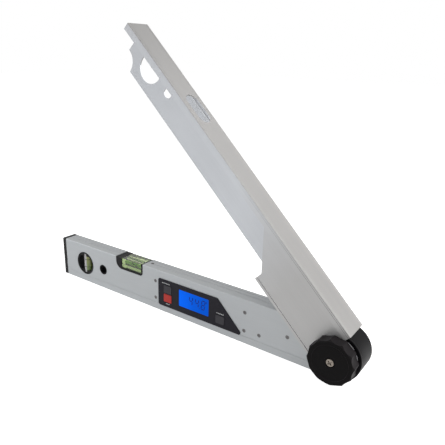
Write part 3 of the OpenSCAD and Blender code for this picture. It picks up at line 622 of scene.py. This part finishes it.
def ring_pair_tree():
    """Two thin rings about the local X axis, as the reading lines on a vial."""
    tree, given, out = geometry_group("ring_pair", [
        ("Radius", FLOAT, 5 * MM), ("Wire", FLOAT, 0.3 * MM), ("Spacing", FLOAT, 12 * MM)])
    circle = put(tree, "GeometryNodeCurvePrimitiveCircle", {
        "Resolution": RING_FACETS, "Radius": given["Radius"]})
    wire = put(tree, "GeometryNodeCurvePrimitiveCircle", {
        "Resolution": WIRE_FACETS, "Radius": given["Wire"]})
    tube = put(tree, "GeometryNodeCurveToMesh", {
        "Curve": circle.outputs[0], "Profile Curve": wire.outputs[0]})
    upright = put(tree, "GeometryNodeTransform", {
        "Geometry": tube.outputs[0], "Rotation": (0, QUARTER_TURN, 0)})
    half = maths(tree, "MULTIPLY", given["Spacing"], 0.5)
    start = put(tree, "ShaderNodeCombineXYZ", {0: maths(tree, "MULTIPLY", half, -1.0)})
    end = put(tree, "ShaderNodeCombineXYZ", {0: half})
    line = put(tree, "GeometryNodeMeshLine", {
        "Count": 2, "Start Location": start.outputs[0], "Offset": end.outputs[0]}, mode="END_POINTS")
    put_out_copies(tree, given, out, put(tree, "GeometryNodeInstanceOnPoints", {
        "Points": line.outputs[0], "Instance": upright.outputs[0]}))
    return tree


def bars_tree():
    """A flat bar with pointed ends on every point of a mesh, turned by the point's own 'turn'."""
    tree, given, out = geometry_group("bars_on_points", [
        ("Bar Length", FLOAT, 3 * MM), ("Bar Width", FLOAT, 0.6 * MM), ("Bar Height", FLOAT, 0.1 * MM)])
    disc = put(tree, "GeometryNodeMeshCylinder", {
        "Vertices": 6, "Side Segments": 1, "Radius": 1.0, "Depth": 1.0})
    half = maths(tree, "MULTIPLY", given["Bar Length"], 0.5)
    wide = maths(tree, "MULTIPLY", given["Bar Width"], HEXAGON_RADIUS)
    size = put(tree, "ShaderNodeCombineXYZ", {0: half, 1: wide, 2: given["Bar Height"]})
    bar = put(tree, "GeometryNodeTransform", {"Geometry": disc.outputs[0], "Scale": size.outputs[0]})
    turn = put(tree, "GeometryNodeInputNamedAttribute", {"Name": "turn"}, data_type="FLOAT_VECTOR")
    put_out_copies(tree, given, out, put(tree, "GeometryNodeInstanceOnPoints", {
        "Points": given["Geometry"], "Instance": bar.outputs[0], "Rotation": turn.outputs[0]}))
    return tree


RING_PAIR = ring_pair_tree()
BARS = bars_tree()


def set_inputs(modifier, tree, values):
    """Sets a modifier's inputs, given by name, through their identifiers."""
    for item in tree.interface.items_tree:
        if item.item_type == "SOCKET" and item.in_out == "INPUT" and item.name in values:
            modifier[item.identifier] = values[item.name]


def grown(name, points, tree, values, place, turns=None):
    """Runs a geometry tree on points, puts the result in place, and returns a plain object."""
    mesh = bpy.data.meshes.new(name + "_points")
    mesh.from_pydata(points, [], [])
    if turns is not None:
        attribute = mesh.attributes.new("turn", "FLOAT_VECTOR", "POINT")
        for item, value in zip(attribute.data, turns):
            item.vector = value
    seed = add_object(name + "_seed", mesh)
    modifier = seed.modifiers.new(name, "NODES")
    modifier.node_group = tree
    set_inputs(modifier, tree, values)
    piece = baked(seed, name)
    piece.data.transform(place)
    return piece


def standing(x, y, z):
    """Puts a flat drawing upright at a point, so that it looks at the display side."""
    return Matrix.Translation((x, y, z)) @ Matrix.Rotation(QUARTER_TURN, 4, "X")


# ---------------------------------------------------------------- reading lines of the vials

# Half the lines' thickness, and the gap between the two lines of each vial
LINE_WIRE = 0.28 * MM
LEVEL_LINE_GAP, PLUMB_LINE_GAP = 12 * MM, 11 * MM


def vial_lines():
    """Reading lines round both vials: inside the level's bore, and on the upright vial's outside."""
    low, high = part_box("level_fluid")
    level = grown("level_lines", [(0, 0, 0)], RING_PAIR, {
        "Radius": (high.z - low.z) / 2 - 2 * LINE_WIRE, "Wire": LINE_WIRE, "Spacing": LEVEL_LINE_GAP,
        "Material": MATERIALS["vial_line"]}, Matrix.Translation((low + high) / 2))
    low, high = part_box("plumb_vial")
    upright = Matrix.Translation((low + high) / 2) @ Matrix.Rotation(QUARTER_TURN, 4, "Y")
    plumb = grown("plumb_lines", [(0, 0, 0)], RING_PAIR, {
        "Radius": (high.x - low.x) / 2 + LINE_WIRE / 2, "Wire": LINE_WIRE, "Spacing": PLUMB_LINE_GAP,
        "Material": MATERIALS["vial_line"]}, upright)
    for piece in (level, plumb):
        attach(piece, FIXED)


# ---------------------------------------------------------------- figures and marks of the panel

# Which of the seven bars each figure lights, and which of them stand upright, in this order:
# top, upper right, lower right, bottom, lower left, upper left, middle
LIT = {"4": "0110011", "8": "1111111"}
STANDING_BARS = (False, True, True, False, True, True, False)
# Between the middles of a figure's outer bars, and from figure to figure; the lean is in radians
FIGURE_HIGH, FIGURE_WIDE, FIGURE_PITCH = 11.4 * MM, 4.6 * MM, 9.2 * MM
FIGURE_SLANT = 0.1
BAR_LONG, BAR_WIDE = 0.43 * FIGURE_HIGH, 1.1 * MM
# The thickness of the figures and dashes, which lie on their surface
INK_THICK = 0.06 * MM
# From the lens's middle to the middle of the last figure
FIGURE_OFFSET = (14.3 * MM, 1.1 * MM)
# The point and the four dots of the degree mark: their size, the mark's radius, and the way to it
# from the last figure
DOT_LONG, DOT_WIDE = 1.1 * MM, 0.9 * MM
DEGREE_RADIUS = 0.9 * MM
DEGREE_OFFSET = (FIGURE_WIDE / 2 + 2.2 * MM, 0.42 * FIGURE_HIGH)

# Each row of dashes: the button beside it, whether it is above (1) or below (-1) the button,
# its shift along the arm, and its count
DASH_ROWS = (
    ("hold_button", 1, -2.9 * MM, 6),
    ("power_button", -1, 0.0, 3),
    ("light_button", 1, 0.0, 5),
)
# A dash's length and height, and the way from one dash to the next
DASH_LONG, DASH_WIDE, DASH_PITCH = 1.7 * MM, 1.2 * MM, 2.1 * MM
# From the button's edge to the middle of its row
DASH_GAP = 2.6 * MM


def figure_bars(text):
    """Centres and turns of the lit bars of a row of figures, whose last figure is at the middle."""
    half, side = FIGURE_HIGH / 2, FIGURE_WIDE / 2
    spots = [(0, half), (side, half / 2), (side, -half / 2), (0, -half),
             (-side, -half / 2), (-side, half / 2), (0, 0)]
    centres, turns = [], []
    figures = text.replace(".", "")
    for index, sign in enumerate(figures):
        x = (index - len(figures) + 1) * FIGURE_PITCH
        for lit, (dx, dz), stands in zip(LIT[sign], spots, STANDING_BARS):
            if lit == "1":
                centres.append((x + dx + dz * FIGURE_SLANT, dz, 0))
                turns.append((0, 0, QUARTER_TURN - FIGURE_SLANT if stands else 0))
    return centres, turns


def mark_dots(text):
    """Centres of the reading's point and of the four dots of its degree mark."""
    half = FIGURE_HIGH / 2
    # The point stands halfway between two figures, which are counted from the last one
    figures_before, figures = text.index("."), len(text) - 1
    point = ((figures_before - figures + 0.5) * FIGURE_PITCH - half * FIGURE_SLANT, -half, 0)
    across, up = DEGREE_OFFSET
    degree = [(across + DEGREE_RADIUS * math.cos(turn), up + DEGREE_RADIUS * math.sin(turn), 0)
              for turn in (step * QUARTER_TURN for step in range(4))]
    return [point, *degree]


def display_figures():
    """The reading, in seven-bar figures on the display glass, with its point and degree mark."""
    low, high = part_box("display_lens")
    middle = (low + high) / 2
    across, up = FIGURE_OFFSET
    place = standing(middle.x + across, low.y - INK_THICK / 2, middle.z + up)
    ink = {"Bar Height": INK_THICK, "Material": MATERIALS["segment_ink"]}
    centres, turns = figure_bars(READING)
    figures = grown("reading", centres, BARS, {
        "Bar Length": BAR_LONG, "Bar Width": BAR_WIDE, **ink}, place, turns)
    dots = mark_dots(READING)
    marks = grown("reading_marks", dots, BARS, {
        "Bar Length": DOT_LONG, "Bar Width": DOT_WIDE, **ink}, place, [(0, 0, 0)] * len(dots))
    for piece in (figures, marks):
        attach(piece, FIXED)


def panel_marks():
    """Plain white dashes beside the buttons."""
    bezel_low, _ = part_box("display_bezel")
    for node, way, shift, count in DASH_ROWS:
        low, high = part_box(node)
        height = (high.z if way > 0 else low.z) + way * DASH_GAP
        points = [((step - (count - 1) / 2) * DASH_PITCH, 0, 0) for step in range(count)]
        piece = grown(node + "_dashes", points, BARS, {
            "Bar Length": DASH_LONG, "Bar Width": DASH_WIDE, "Bar Height": INK_THICK,
            "Material": MATERIALS["mark_white"]},
            standing((low.x + high.x) / 2 + shift, bezel_low.y - INK_THICK / 2, height),
            [(0, 0, 0)] * count)
        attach(piece, FIXED)


# ---------------------------------------------------------------- studio

# The photograph's viewpoint, found from the arms' edges: its place and its turn in degrees
VIEW_PLACE, VIEW_TURN = (0.35799, -0.43981, 0.30991), (70.358, -1.121, 36.508)
# The lens and the sensor's width in millimetres, the shift, and the nearest distance that shows
VIEW_LENS, VIEW_SENSOR, VIEW_SHIFT, VIEW_NEAR = 40.77, 36.0, (0.0371, 0.0234), 0.01

# The floor: half its side, its drop under the measuring base, and its colour
FLOOR_REACH, FLOOR_DROP, FLOOR_TINT = 6.0, 0.3 * MM, (0.86, 0.86, 0.86)
# How much light of its own the floor shows to the camera and in reflections, so that it looks white
FLOOR_LIFT = 0.87
# The sky's strength as light on the object, and as the camera and reflections see it
SKY_LIGHT, SKY_SEEN = 0.22, 1.0
WHITE = (1.0, 1.0, 1.0)

# The side of each square lamp, and each lamp's place, what it points at, its watts and its tint
LAMP_SIZE = 0.9
LAMPS = {
    "left_low": ((-0.95, -0.55, 0.3), (-0.05, 0, 0.1), 4.9, (0.87, 0.94, 1.0)),
    "left_high": ((-0.7, -0.6, 0.85), (-0.05, 0, 0.1), 3.3, (1.0, 0.97, 0.95)),
    "right_high": ((0.79, 0.04, 0.63), (0.1, 0, 0.1), 6.0, (1.0, 0.98, 0.965)),
    "back": ((0, 1.0, 0.9), (0, 0, 0.1), 1.0, WHITE),
}


def seen_rays(tree):
    """One where the camera, a reflection or a clear piece looks, and zero for other light."""
    path = put(tree, "ShaderNodeLightPath").outputs
    seen = maths(tree, "MAXIMUM", path["Is Camera Ray"], path["Is Glossy Ray"])
    return maths(tree, "MAXIMUM", seen, path["Is Transmission Ray"])


def floor_paint():
    """Pale grey that the camera sees lifted to white, except in the object's shadow."""
    paint = bpy.data.materials.new("floor_paint")
    paint.use_nodes = True
    tree = paint.node_tree
    tree.nodes.clear()
    matte = put(tree, "ShaderNodeBsdfDiffuse", {"Color": colour(FLOOR_TINT)})
    lift = maths(tree, "MULTIPLY", seen_rays(tree), FLOOR_LIFT)
    glow = put(tree, "ShaderNodeEmission", {"Color": colour(WHITE), "Strength": lift})
    both = put(tree, "ShaderNodeAddShader", {0: matte.outputs[0], 1: glow.outputs[0]})
    put(tree, "ShaderNodeOutputMaterial", {"Surface": both.outputs[0]})
    return paint


def floor():
    """Plain pale floor under the measuring base."""
    reach = FLOOR_REACH
    mesh = bpy.data.meshes.new("floor")
    mesh.from_pydata([(-reach, -reach, 0), (reach, -reach, 0), (reach, reach, 0), (-reach, reach, 0)],
                     [], [(0, 1, 2, 3)])
    mesh.materials.append(floor_paint())
    made = add_object("floor", mesh)
    made.location.z = -FLOOR_DROP


def sky():
    """White backdrop to the camera and in reflections, and softer light on the object."""
    world = bpy.data.worlds.new("studio")
    bpy.context.scene.world = world
    world.use_nodes = True
    tree = world.node_tree
    tree.nodes.clear()
    soft = put(tree, "ShaderNodeBackground", {"Color": colour(WHITE), "Strength": SKY_LIGHT})
    white = put(tree, "ShaderNodeBackground", {"Color": colour(WHITE), "Strength": SKY_SEEN})
    mixed = put(tree, "ShaderNodeMixShader", {0: seen_rays(tree), 1: soft.outputs[0], 2: white.outputs[0]})
    put(tree, "ShaderNodeOutputWorld", {"Surface": mixed.outputs[0]})


def lamp(name, place, target, watts, tint):
    """A square soft lamp that points at target."""
    light = bpy.data.lights.new(name, "AREA")
    light.color = tint
    light.shape = "SQUARE"
    light.size = LAMP_SIZE
    light.energy = watts
    made = add_object(name, light)
    made.location = place
    made.rotation_euler = (Vector(target) - Vector(place)).to_track_quat("-Z", "Y").to_euler()


def camera():
    """The camera of the photograph's view."""
    data = bpy.data.cameras.new("view")
    data.sensor_width = VIEW_SENSOR
    data.lens = VIEW_LENS
    data.shift_x, data.shift_y = VIEW_SHIFT
    data.clip_start = VIEW_NEAR
    made = add_object("view", data)
    made.location = VIEW_PLACE
    made.rotation_euler = [math.radians(turn) for turn in VIEW_TURN]
    bpy.context.scene.camera = made


bpy.context.scene.view_settings.view_transform = "Standard"
camera()
sky()
floor()
for name, (place, target, watts, tint) in LAMPS.items():
    lamp(name, place, target, watts, tint)

dress_nodes()
for node, body, width in ROUNDED:
    soften(node, body, width)
for button in BUTTONS:
    soften(button, button, BUTTON_ROUND, segments=3)
vial_lines()
display_figures()
panel_marks()
